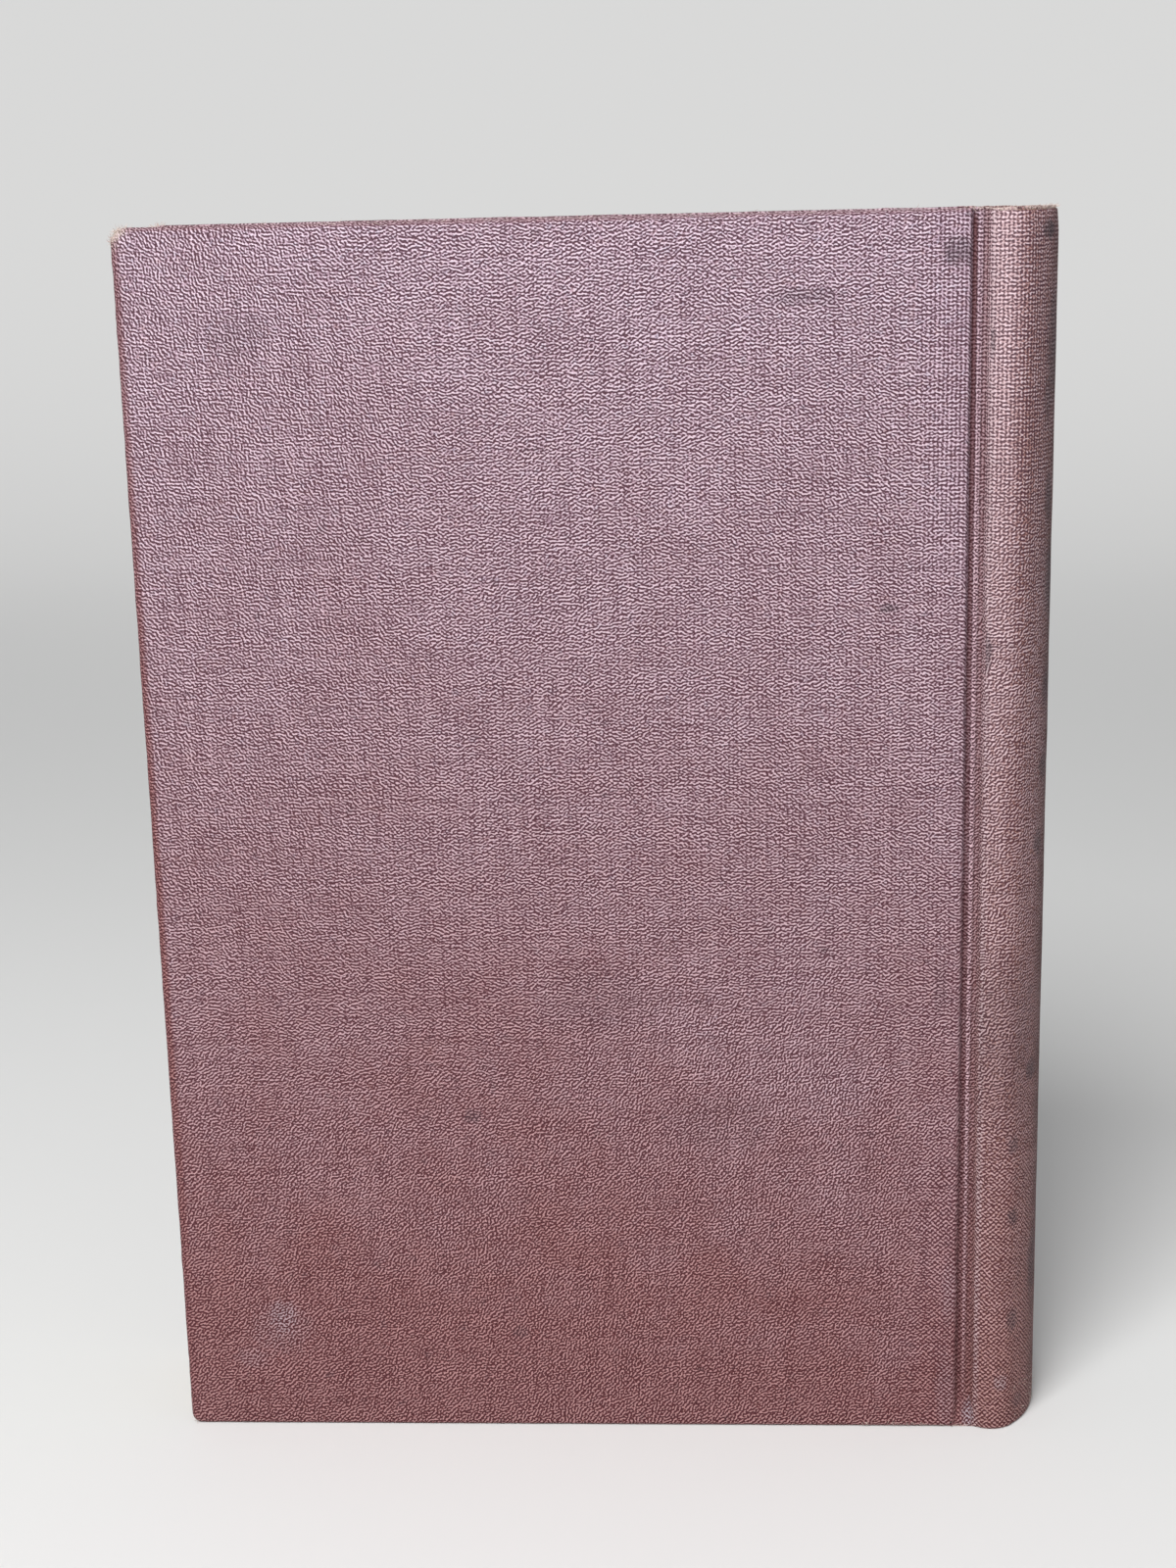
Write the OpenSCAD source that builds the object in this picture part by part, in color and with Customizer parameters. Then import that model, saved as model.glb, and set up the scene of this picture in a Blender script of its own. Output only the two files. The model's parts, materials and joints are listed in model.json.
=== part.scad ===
// Cloth-bound hardback book, closed and standing on its tail.
// X runs from the fore-edge to the spine, Y from the back cover to the front cover, Z from tail to head.
// The origin is at the middle of the book's footprint, on the surface that it stands on.

/* [Covers] */
// Height of the covers, cloth included
book_h = 210; // [150:1:320]
// Width of each board, from its fore-edge to its spine edge
board_w = 135.8; // [95:0.1:230]
// Thickness of each board
board_t = 2.4; // [1.5:0.1:3.5]
// Radius of the board's four long edges
board_edge_r = 0.5; // [0.2:0.05:0.7]
// Radius of the board's corners, seen from the front
board_corner_r = 1.1; // [0.6:0.1:4]
// Thickness of the covering cloth
cloth_t = 0.4; // [0.25:0.05:0.6]
// Width of the cloth that is folded over onto the inside of each board
turn_in = 15; // [10:0.5:22]

/* [Text block] */
// Thickness of the pages, between the two free endpapers
block_t = 19.6; // [12:0.1:45]
// How far the covers stand beyond the pages at the head, the tail and the fore-edge
square_w = 3; // [1.5:0.1:6]
// Depth of the hollow curve along the fore-edge of the pages
fore_hollow = 4.2; // [1:0.1:6]
// Thickness of one leaf of endpaper
endpaper_t = 0.15; // [0.1:0.05:0.3]

/* [Spine] */
// Width of the groove between a board's edge and the shoulder of the spine
groove_w = 2.7; // [2:0.1:8]
// Depth of the groove's floor below the face of the cover
groove_floor = 2; // [1:0.1:2.4]
// Depth of the small ridge inside the groove, below the face of the cover
ridge_depth = 1.35; // [0.8:0.05:1.9]
// Depth of the second crease, between the ridge and the shoulder
crease_depth = 1.65; // [0.9:0.05:2]
// Angle at which the shoulder's curve rises out of the groove
shoulder_angle = 52; // [40:1:70]
// Distance from the centres of the rounded shoulders to the outermost line of the spine
spine_bulge = 8.7; // [7.5:0.1:10]
// Outer radius of the rounded shoulders
shoulder_r = 5; // [4:0.1:6]
// How far the shoulders stand proud of the covers' faces
shoulder_proud = 0.8; // [0:0.1:1.5]

/* [Linings] */
// Thickness of the open-weave mull glued to the spine
mull_t = 0.25; // [0.15:0.05:0.4]
// Width of the mull's flange on the inside of each board
mull_flange_w = 25; // [15:1:35]
// Thickness of the paper lining on the spine
lining_t = 0.2; // [0.1:0.05:0.4]
// Thickness of the card strip inside the cloth of the spine
inlay_t = 0.4; // [0.25:0.05:0.8]
// Radius of the bead of the head and tail bands
bead_r = 0.8; // [0.5:0.1:1.2]

/* [Clearances] */
// Space between the closed cover and the free endpaper
leaf_gap = 0.2; // [0.15:0.05:0.5]
// Space between the folded cloth inside the hollow spine and the lining
hollow_gap = 0.3; // [0.2:0.05:1]
// Width of the parting at each joint, where the cover's cloth meets the spine's cloth
joint_gap = 0.3; // [0.2:0.05:0.5]
// Width of the slit between two folded-in margins of cloth at a corner
mitre_gap = 0.3; // [0.2:0.05:1]
// Distance from the shoulders out to the line that the covers turn about
hinge_clearance = 0.35; // [0.2:0.05:1]

/* [Hidden] */

$fn = 96;
// Small length by which a cut runs past the face that it opens
past = 0.1;

// Thickness of a closed cover: cloth, board, folded cloth and pasted endpaper
cover_t = cloth_t + board_t + cloth_t + endpaper_t;
// Thickness of the book over the faces of its covers
book_t = block_t + 2 * (endpaper_t + leaf_gap + cover_t);
// Width of a cover, cloth included
cover_w = board_w + 2 * cloth_t;
// Distance that the cloth takes to climb from the groove to the shoulder's curve
lip_run = 0.5;
// Width of the whole book
book_w = cover_w + groove_w + lip_run + shoulder_r * cos(shoulder_angle) + spine_bulge;

// Places along X
x_fore = -book_w / 2;
x_spine = book_w / 2;
x_block_fore = x_fore + square_w;
x_board_edge = x_fore + cover_w;
x_hinge = x_board_edge + groove_w / 2;
x_shoulder = x_board_edge + groove_w;
x_corner = x_spine - spine_bulge;

// Places along Y, from the middle of the thickness to the outside
y_face = book_t / 2;
y_corner = y_face + shoulder_proud - shoulder_r;
y_board_inside = y_face - cloth_t - board_t;
y_hinge = y_face + shoulder_proud + hinge_clearance;

// Outer radius of the rounded spine, tangent to both shoulders
spine_r = (pow(y_corner, 2) + pow(spine_bulge, 2) - pow(shoulder_r, 2)) / (2 * (spine_bulge - shoulder_r));
x_centre = x_spine - spine_r;
// Half of the angle that the rounded spine covers between its shoulders
spine_half_angle = atan2(y_corner, x_corner - x_centre);

// Distances from the pages' spine outwards to each layer
mull_out = mull_t;
lining_out = mull_out + lining_t;
fold_in = lining_out + hollow_gap;
inlay_in = fold_in + cloth_t;
inlay_out = inlay_in + inlay_t;
cloth_out = inlay_out + cloth_t;
block_corner_r = shoulder_r - cloth_out;
block_spine_r = spine_r - cloth_out;

// Heights
block_bottom = square_w;
block_h = book_h - 2 * square_w;
mull_bottom = turn_in;
mull_h = book_h - 2 * turn_in;

// Angle on the back shoulder at which the layers that cover only the rounded spine begin, just past its crest
lining_start = 276;
// Angle on the back shoulder at which its cloth leaves the groove
lip_start = 180 + shoulder_angle;

// Colours
cloth_colour = [0.49, 0.29, 0.33];
page_colour = [0.93, 0.89, 0.79];
endpaper_colour = [0.94, 0.91, 0.84];
board_colour = [0.62, 0.57, 0.48];
mull_colour = [0.90, 0.88, 0.80];
kraft_colour = [0.66, 0.50, 0.33];
band_colour = [0.82, 0.74, 0.60];

// Rectangle with rounded corners, its low corner at the origin
module rounded_rectangle(w, h, r) {
    translate([r, 0]) square([w - 2 * r, h]);
    translate([0, r]) square([w, h - 2 * r]);
    for (x = [r, w - r], y = [r, h - r]) translate([x, y]) circle(r);
}

// Slab with all its edges rounded, standing on its tail: w along X, t along Y, h along Z
module rounded_slab(w, t, h, edge_r, corner_r) {
    intersection() {
        linear_extrude(h) rounded_rectangle(w, t, edge_r);
        rotate([90, 0, 90]) linear_extrude(w) rounded_rectangle(t, h, edge_r);
        translate([0, t, 0]) rotate([90, 0, 0]) linear_extrude(t) rounded_rectangle(w, h, corner_r);
    }
}

// Everything on the front is the back's mirror image
module front() {
    mirror([0, 1, 0]) children();
}

// What is at the tail, and its mirror image at the head
module tail_and_head() {
    children();
    translate([0, 0, book_h]) mirror([0, 0, 1]) children();
}

// Points of an arc, without its last one
function arc(centre, r, from, to, steps) =
    [for (i = [0:steps - 1]) let (a = from + (to - from) * i / steps) centre + r * [cos(a), sin(a)]];

// The curve round the spine at a distance out from the pages: the back shoulder from angle start on,
// the rounded spine, and the front shoulder
function spine_path(out, start) = concat(
    arc([x_corner, -y_corner], block_corner_r + out, start, 360 - spine_half_angle, 24),
    arc([x_centre, 0], block_spine_r + out, -spine_half_angle, spine_half_angle, 40),
    arc([x_corner, y_corner], block_corner_r + out, spine_half_angle, 360 - start, 24),
    [[x_corner, y_corner] + (block_corner_r + out) * [cos(start), -sin(start)]]
);

function reversed(list) = [for (i = [len(list) - 1:-1:0]) list[i]];

// One layer of the spine between two distances from the pages, from the angle start on each shoulder
module spine_layer(inner, outer, start) {
    polygon(concat(spine_path(outer, start), reversed(spine_path(inner, start))));
}

// The pages, sewn and glued, rounded and backed, as one solid
module text_block() {
    hollow_r = (pow(block_t / 2, 2) + pow(fore_hollow, 2)) / (2 * fore_hollow);
    hollow_angle = asin(block_t / 2 / hollow_r);
    start = 180 + asin((block_t / 2 - y_corner) / block_corner_r);
    hollow_centre = [x_block_fore + fore_hollow - hollow_r, 0];
    color(page_colour)
        translate([0, 0, block_bottom]) linear_extrude(block_h)
            polygon(concat(
                spine_path(0, start),
                arc(hollow_centre, hollow_r, hollow_angle, -hollow_angle, 32),
                [[x_block_fore, -block_t / 2]]
            ));
}

// The free leaf of the back endpaper, lying on the pages
module back_flyleaf() {
    x_fold = x_corner - block_corner_r - mull_out - leaf_gap;
    color(endpaper_colour)
        translate([x_block_fore, -block_t / 2 - endpaper_t, block_bottom])
            cube([x_fold - x_block_fore, endpaper_t, block_h]);
}

module front_flyleaf() {
    front() back_flyleaf();
}

// Open-weave cloth over the spine and its two shoulders
module spine_mull() {
    y_fold = block_t / 2 + endpaper_t + leaf_gap / 2;
    start = 180 + asin((y_fold - y_corner) / (block_corner_r + mull_out));
    color(mull_colour)
        translate([0, 0, mull_bottom]) linear_extrude(mull_h) spine_layer(0, mull_out, start);
}

// Paper lining over the mull and the bands
module spine_lining() {
    color(kraft_colour)
        translate([0, 0, block_bottom]) linear_extrude(block_h) spine_layer(mull_out, lining_out, lining_start);
}

// Woven band at the head of the spine: a tape on the pages' backs with a bead along its edge
module head_band() {
    tape_bottom = mull_bottom + mull_h + hollow_gap;
    block_top = block_bottom + block_h;
    bead_angle = spine_half_angle * 0.96;
    color(band_colour) {
        translate([0, 0, tape_bottom])
            linear_extrude(block_top + bead_r - tape_bottom) spine_layer(0, mull_out, lining_start);
        translate([x_centre, 0, block_top + bead_r])
            rotate([0, 0, -bead_angle]) rotate_extrude(angle = 2 * bead_angle)
                translate([block_spine_r - bead_r + mull_out / 2, 0]) circle(bead_r, $fn = 32);
    }
}

module tail_band() {
    translate([0, 0, book_h]) mirror([0, 0, 1]) head_band();
}

// Card strip that stiffens the cloth of the spine
module spine_inlay() {
    color(kraft_colour)
        translate([0, 0, cloth_t]) linear_extrude(book_h - 2 * cloth_t) spine_layer(inlay_in, inlay_out, lining_start);
}

// The outside of the spine's cloth in the back groove: from the parting, over the small ridge and
// down into the second crease
function groove_outside() =
    let (x_from = x_hinge + joint_gap / 2, run = x_shoulder - x_from)
    [
        [x_from, -y_face + groove_floor],
        [x_from + run * 0.2, -y_face + ridge_depth],
        [x_from + run * 0.6, -y_face + ridge_depth],
        [x_from + run * 0.9, -y_face + crease_depth],
    ];

// The inside of the same cloth, pressed flat onto the mull
function groove_inside() =
    let (outside = groove_outside())
    [outside[0] + [0, cloth_t], outside[3] + cloth_t * [0.6, 1]];

// The same points on the front, in the other order
function on_front(list) = [for (p = reversed(list)) [p[0], -p[1]]];

// The part of the covering cloth that goes round the spine, folded in over the inlay at head and tail
module spine_cloth() {
    outside = concat(groove_outside(), spine_path(cloth_out, lip_start), on_front(groove_outside()));
    inside = concat(groove_inside(), spine_path(inlay_out, lip_start), on_front(groove_inside()));
    color(cloth_colour) {
        linear_extrude(book_h) polygon(concat(outside, reversed(inside)));
        tail_and_head() {
            linear_extrude(cloth_t) spine_layer(fold_in, inlay_out, lining_start);
            linear_extrude(turn_in) spine_layer(fold_in, inlay_in, lining_start);
        }
    }
}

module back_board() {
    color(board_colour)
        translate([x_fore + cloth_t, -y_face + cloth_t, cloth_t])
            rounded_slab(board_w, board_t, book_h - 2 * cloth_t, board_edge_r, board_corner_r);
}

module front_board() {
    front() back_board();
}

// The slit at the tail corner of the back board, where the folded-in margins meet at 45 degrees,
// running past their faces by extra
module back_mitre(extra) {
    slit_l = (turn_in - 2 * (board_edge_r + cloth_t)) * sqrt(2);
    translate([x_fore + turn_in, -y_board_inside, turn_in]) rotate([0, 45, 0])
        translate([-mitre_gap / 2, -extra, -slit_l]) cube([mitre_gap, cloth_t + 2 * extra, slit_l + extra]);
}

// The covering cloth of the back board: its outer face, the wrapped edges, the folded-in margins
// and the strip that runs down into the groove
module back_cover_cloth() {
    wrapped_t = board_t + 2 * cloth_t;
    color(cloth_colour) {
        difference() {
            translate([x_fore, -y_face, 0])
                rounded_slab(cover_w, wrapped_t, book_h, board_edge_r + cloth_t, board_corner_r + cloth_t);
            back_board();
            translate([x_fore + turn_in, -y_board_inside, turn_in])
                cube([cover_w, cloth_t + past, book_h - 2 * turn_in]);
            tail_and_head() back_mitre(past);
        }
        translate([x_board_edge - cloth_t, -y_face + groove_floor, 0])
            cube([x_hinge - joint_gap / 2 - x_board_edge + cloth_t, cloth_t, book_h]);
    }
}

module front_cover_cloth() {
    front() back_cover_cloth();
}

// The edge of the mull, glued to the inside of the back board
module back_mull_flange() {
    color(mull_colour)
        translate([x_board_edge - cloth_t - mull_flange_w, -y_board_inside, mull_bottom])
            cube([mull_flange_w, mull_t, mull_h]);
}

module front_mull_flange() {
    front() back_mull_flange();
}

// The endpaper pasted to the inside of the back cover, over the folded-in cloth and the mull
module back_pastedown() {
    x_from = x_fore + square_w;
    x_to = x_board_edge - cloth_t;
    step = endpaper_t;
    color(endpaper_colour) difference() {
        translate([x_from, -y_board_inside, square_w])
            cube([x_to - x_from, cloth_t + endpaper_t, book_h - 2 * square_w]);
        back_cover_cloth();
        tail_and_head() back_mitre(0);
        back_mull_flange();
        translate([x_fore + turn_in + step, -y_board_inside + endpaper_t, turn_in + step])
            cube([board_w - turn_in - mull_flange_w - 2 * step + cloth_t, cloth_t + past, mull_h - 2 * step]);
        translate([x_to - mull_flange_w - 2 * step, -y_board_inside + mull_t + endpaper_t, turn_in + step])
            cube([mull_flange_w + 2 * step + past, cloth_t + past, mull_h - 2 * step]);
    }
}

module front_pastedown() {
    front() back_pastedown();
}

text_block();
back_flyleaf();
front_flyleaf();
spine_mull();
spine_lining();
head_band();
tail_band();
spine_inlay();
spine_cloth();
back_board();
back_cover_cloth();
back_mull_flange();
back_pastedown();
front_board();
front_cover_cloth();
front_mull_flange();
front_pastedown();
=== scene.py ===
"""Cloth-bound hardback book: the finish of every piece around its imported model, and the stage."""

import json
import random
from math import atan2, cos, hypot, pi, radians, sin

import bmesh
import bpy
from mathutils import Euler, Matrix, Vector


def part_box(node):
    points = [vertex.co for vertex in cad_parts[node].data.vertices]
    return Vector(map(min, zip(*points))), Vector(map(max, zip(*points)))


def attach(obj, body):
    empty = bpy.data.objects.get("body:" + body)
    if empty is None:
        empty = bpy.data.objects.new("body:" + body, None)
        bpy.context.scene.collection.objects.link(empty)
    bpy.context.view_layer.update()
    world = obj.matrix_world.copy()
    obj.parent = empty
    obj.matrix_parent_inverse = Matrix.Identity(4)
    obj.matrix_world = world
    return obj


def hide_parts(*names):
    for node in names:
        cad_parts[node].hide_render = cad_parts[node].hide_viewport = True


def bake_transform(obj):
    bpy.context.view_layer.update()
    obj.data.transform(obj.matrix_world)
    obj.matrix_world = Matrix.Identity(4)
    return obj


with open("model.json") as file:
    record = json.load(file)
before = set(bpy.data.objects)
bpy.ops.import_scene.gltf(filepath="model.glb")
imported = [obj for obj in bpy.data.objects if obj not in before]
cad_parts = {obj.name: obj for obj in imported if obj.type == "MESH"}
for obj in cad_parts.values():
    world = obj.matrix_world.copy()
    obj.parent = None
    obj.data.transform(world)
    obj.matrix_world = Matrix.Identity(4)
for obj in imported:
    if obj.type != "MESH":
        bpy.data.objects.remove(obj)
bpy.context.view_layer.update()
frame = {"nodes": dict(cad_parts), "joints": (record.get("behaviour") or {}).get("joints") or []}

bl_info = {
    "name": "Cloth-bound hardback book",
    "version": (1, 0, 0),
    "blender": (4, 5, 0),
    "location": "3D View > Sidebar > Book",
    "description": "Builds a worn cloth-bound book with covers that open, and its stage",
    "category": "Object",
}

MM = 0.001
SIDES = ("back", "front")

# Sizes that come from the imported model, in metres
BOARD_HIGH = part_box("back_board")[1]
COVER_LOW, COVER_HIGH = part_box("back_cover_cloth")
SPINE_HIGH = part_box("spine_cloth")[1]
BLOCK_LOW, BLOCK_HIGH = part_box("text_block")
LEAF_LOW, LEAF_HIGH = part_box("back_flyleaf")
BAND_LOW, BAND_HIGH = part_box("head_band")
HINGE = {j["child"]: Vector(j["pos_m"]) for j in frame["joints"]}["back_cover"]

# The layers and curves of the part, which its boxes don't give
CLOTH = 0.4 * MM
TURN_IN = 15 * MM
SHOULDER_R = 5 * MM
SHOULDER_ANGLE = radians(52)
SPINE_BULGE = 8.7 * MM
SPINE_WALL = 1.2 * MM
SPINE_TO_PAGES = 1.95 * MM
GROOVE_FLOOR = 2.0 * MM
GROOVE_MARGIN = 0.05 * MM
RIDGE_DEPTH = 1.35 * MM
CREASE_DEPTH = 1.8 * MM
EDGE_R = 0.9 * MM
BEAD_R = 0.8 * MM
MULL = 0.25 * MM

BOOK_H = COVER_HIGH.z
FACE_Y = -COVER_LOW.y
COVER_T = COVER_HIGH.y - COVER_LOW.y
FORE_X = COVER_LOW.x
EDGE_X = BOARD_HIGH.x + CLOTH
SHOULDER_X = 2 * HINGE.x - EDGE_X
SPINE_X = SPINE_HIGH.x
CORNER = Vector((SPINE_X - SPINE_BULGE, -(SPINE_HIGH.y - SHOULDER_R), 0))
SPINE_R = (CORNER.y ** 2 + SPINE_BULGE ** 2 - SHOULDER_R ** 2) / (2 * (SPINE_BULGE - SHOULDER_R))
CENTRE = Vector((SPINE_X - SPINE_R, 0, 0))
SPINE_ANGLE = atan2(-CORNER.y, CORNER.x - CENTRE.x)
SHOULDER_SWEEP = pi - SHOULDER_ANGLE - SPINE_ANGLE
SPINE_LENGTH = 2 * (SHOULDER_R * SHOULDER_SWEEP + SPINE_R * SPINE_ANGLE)

# The camera that took the photograph, in the part's frame
CAMERA_PLACE = Vector((FORE_X + 96.92 * MM, -FACE_Y - 385.12 * MM, 214.02 * MM))
CAMERA_TURN = Euler([radians(a) for a in (76.032, 1.348, 3.028)])
CAMERA_LENS = 54.76


def shoulder_point(turn, inset):
    """A point on the back shoulder, so many degrees round it and so deep below its outer face"""
    angle = SHOULDER_ANGLE + radians(turn)
    reach = SHOULDER_R - inset * MM
    return Vector((CORNER.x - reach * cos(angle), CORNER.y - reach * sin(angle), 0))


def groove_path():
    """The cloth's outer face across the back groove, from under the board's edge to under the shoulder"""
    run = SHOULDER_X - HINGE.x
    floor, ridge, crease = GROOVE_FLOOR / MM, RIDGE_DEPTH / MM, CREASE_DEPTH / MM
    by_board = ((-1.1, 0.45), (-0.5, 0.45), (-0.14, 0.85), (0.06, 1.35), (0.26, floor * 0.92), (0.5, floor))
    over_ridge = (
        (-0.44, floor * 0.96), (-0.27, ridge + 0.32), (-0.12, ridge + 0.06), (0.04, ridge - 0.05),
        (0.2, ridge), (0.38, ridge + 0.25), (0.62, crease), (0.92, crease),
    )
    by_shoulder = ((0.14, 1.15), (0.3, 0.7))
    path = []
    stretches = ((EDGE_X, MM, by_board), (HINGE.x, run, over_ridge), (SHOULDER_X, MM, by_shoulder))
    for start, unit, rows in stretches:
        path += [Vector((start + across * unit, depth * MM - FACE_Y, 0)) for across, depth in rows]
    return path + [shoulder_point(-1, 0.03), shoulder_point(4, 0.14), shoulder_point(10, 0.3)]


def lengths_along(path):
    """How far along a path each of its points lies"""
    lengths = [0.0]
    for a, b in zip(path, path[1:]):
        lengths.append(lengths[-1] + (b - a).length)
    return lengths


GROOVE = groove_path()
GROOVE_START = GROOVE[0].x - FORE_X
GROOVE_LENGTHS = lengths_along(GROOVE)
SPINE_START = GROOVE_START + GROOVE_LENGTHS[-3]
RIDGE_LINE = GROOVE_START + GROOVE_LENGTHS[9]
# Places on the cloth in millimetres: the board's edge, the ridge in the groove and the spine's edge, all
# across it from the fore-edge, and the head, up from the tail
JOINT_EDGE = (EDGE_X - FORE_X) / MM
RIDGE_AT = RIDGE_LINE / MM
SPINE_EDGE = SPINE_START / MM
HEAD = BOOK_H / MM

# More colours on the cloth than the book's properties give. The faded ones are for towards the head, where
# the cloth is faded and painted sheen lightens it
# The spine faded and under painted sheen, and the painted sheen on the spine's back shoulder
SPINE_FADED_AND_LIT = (0.61, 0.36, 0.38)
SPINE_SHEEN = (0.82, 0.64, 0.67)
GREY_THREAD = (0.46, 0.44, 0.56)
# Red threads here and there, and their copy lightened by the painted sheen towards the head
RED_THREAD, RED_THREAD_FADED_AND_LIT = (0.30, 0.12, 0.09), (0.56, 0.33, 0.30)
# Painted shade in the gaps between threads, paler where the painted sheen lies towards the head
GAP_SHADE, GAP_SHADE_FADED_AND_LIT = (0.088, 0.022, 0.027), (0.090, 0.037, 0.054)
# Painted highlights on the thread crests, paler and pinker towards the head
GLINT, FADED_GLINT = (0.52, 0.30, 0.30), (0.84, 0.70, 0.79)
# Painted highlight along the ridge in the groove
RIDGE_HIGHLIGHT = (0.80, 0.55, 0.61)
# Pale line on the spine's shoulder: wear, and a painted highlight
SHOULDER_WEAR_AND_HIGHLIGHT = (0.60, 0.46, 0.49)
# Soot on the spine's round back, and painted shade where it turns from the light
ROUND_BACK_SOOT_AND_SHADE = (0.080, 0.026, 0.025)
PALE_MARK = (0.50, 0.47, 0.55)


def colour(name, description, default):
    """A colour among the book's properties"""
    return bpy.props.FloatVectorProperty(
        name=name, description=description, subtype="COLOR", size=3, min=0, max=1, default=default)


def distance(name, description, low, high, default):
    """A length among the book's properties, with the least and the most that make sense"""
    return bpy.props.FloatProperty(
        name=name, description=description, subtype="DISTANCE", unit="LENGTH",
        min=low, max=high, default=default)


class BookColours(bpy.types.PropertyGroup):
    """Colours of the cloth and paper"""
    cloth: colour("Cloth", "Colour of the threads of the covering cloth", (0.27, 0.095, 0.098))
    # Greyish pink towards the head: partly the cloth's fading, partly painted sheen
    bloom_and_sheen: colour("Bloom", "Greyish pink of the cloth where it is rubbed and faded", (0.60, 0.42, 0.52))
    spine: colour("Spine", "Browner red of the faded spine", (0.34, 0.155, 0.128))
    # Also the painted shade deep in the grooves, with the cloth's own darker red there
    groove: colour("Groove", "Dark red of the cloth deep in the grooves", (0.085, 0.021, 0.024))
    dirt: colour("Dirt", "Colour of the dark marks on the cloth", (0.055, 0.035, 0.045))
    thread: colour("Bare thread", "Colour of the threads where the dye is worn off", (0.70, 0.58, 0.52))
    page: colour("Pages", "Colour of the edges of the pages", (0.72, 0.61, 0.43))
    endpaper: colour("Endpapers", "Colour of the endpapers", (0.76, 0.68, 0.53))


class BookSizes(bpy.types.PropertyGroup):
    """Sizes of the finish"""
    weave: distance("Thread spacing", "Distance between two threads of the covering cloth",
                    0.3 * MM, 2 * MM, 0.69 * MM)
    fibre: distance("Frayed fibre", "Longest loose fibre at the worn corners", 0.2 * MM, 4 * MM, 1.5 * MM)
    section: distance("Section", "Thickness of one folded section of the pages",
                      0.6 * MM, 3 * MM, 1.15 * MM)


def colours():
    return bpy.context.scene.book_colours


def sizes():
    return bpy.context.scene.book_sizes


def math_node(operation, swapped=False):
    """An operation of the class Sum that adds one Math node"""
    def method(self, *others):
        values = (*others, self) if swapped else (self, *others)
        return self.tree.node("ShaderNodeMath", {"operation": operation}, values)
    return method


class Sum:
    """A value in a shader: arithmetic on it adds Math nodes"""

    def __init__(self, tree, socket):
        self.tree, self.socket = tree, socket

    __add__ = __radd__ = math_node("ADD")
    __sub__ = math_node("SUBTRACT")
    __rsub__ = math_node("SUBTRACT", swapped=True)
    __mul__ = __rmul__ = math_node("MULTIPLY")
    __truediv__ = math_node("DIVIDE")
    sine = math_node("SINE")
    size = math_node("ABSOLUTE")
    highest = math_node("MAXIMUM")

    def clamped(self):
        return self.tree.node("ShaderNodeClamp", {}, (self,))

    def smooth(self, low, high):
        """0 at low, 1 at high and a soft step between, or the other way round"""
        if low > high:
            return 1.0 - self.smooth(high, low)
        settings = {"interpolation_type": "SMOOTHSTEP"}
        return self.tree.node("ShaderNodeMapRange", settings, (self, low, high, 0.0, 1.0))


class Shader:
    """A material's node tree, with one method that adds any node"""

    def __init__(self, name):
        self.material = bpy.data.materials.new(name)
        self.material.use_nodes = True
        self.nodes, self.links = self.material.node_tree.nodes, self.material.node_tree.links
        self.surface = self.nodes["Principled BSDF"]

    def plug(self, value, socket):
        if isinstance(value, Sum):
            self.links.new(value.socket, socket)
        else:
            socket.default_value = value

    def node(self, kind, settings=(), values=(), output=0):
        """Adds a node: its settings first, then the values or links of its sockets, by place or by name"""
        made = self.nodes.new(kind)
        for key, value in dict(settings).items():
            setattr(made, key, value)
        pairs = values.items() if isinstance(values, dict) else enumerate(values)
        for key, value in pairs:
            self.plug(value, made.inputs[key])
        return Sum(self, made.outputs[output])

    def split(self, vector):
        made = self.node("ShaderNodeSeparateXYZ", {}, (vector,)).socket.node
        return [Sum(self, made.outputs[axis]) for axis in "XYZ"]

    def join(self, x, y, z=0.0):
        return self.node("ShaderNodeCombineXYZ", {}, (x, y, z))

    def place(self):
        """The point on the piece in millimetres, as its three values and as one vector"""
        metres = self.node("ShaderNodeTexCoord", {}, (), "Object")
        x, y, z = [axis * (1 / MM) for axis in self.split(metres)]
        return x, y, z, self.join(x, y, z)

    def attribute(self, name):
        return self.node("ShaderNodeAttribute", {"attribute_name": name}, (), "Fac")

    def noise(self, vector, scale, detail=3.0, roughness=0.55):
        values = {"Vector": vector, "Scale": scale, "Detail": detail, "Roughness": roughness}
        return self.node("ShaderNodeTexNoise", {}, values)

    def ripples(self, vector, spacing, turn):
        """Short waves side by side that come and go: how far apart and which way they run"""
        waves_per_cell = 1.5
        values = {"Vector": vector, "Scale": 0.68 / spacing, "Frequency": waves_per_cell, "Anisotropy": 0.5,
                  4: turn}
        return self.node("ShaderNodeTexGabor", {}, values).smooth(0.27, 0.73)

    def mix(self, factor, first, second):
        """Two colours mixed"""
        first, second = [c if isinstance(c, Sum) else (*c, 1.0) for c in (first, second)]
        return self.node("ShaderNodeMix", {"data_type": "RGBA"}, {0: factor, 6: first, 7: second}, 2)

    def finish(self, bump=None, **values):
        """Sets the surface's sockets, with bump as height, strength and distance. Returns the material"""
        for name, value in values.items():
            value = (*value, 1.0) if isinstance(value, tuple) else value
            self.plug(value, self.surface.inputs[name.replace("_", " ")])
        if bump is not None:
            relief = self.node("ShaderNodeBump", {}, dict(zip(("Height", "Strength", "Distance"), bump)))
            self.links.new(relief.socket, self.surface.inputs["Normal"])
        return self.material


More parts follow.
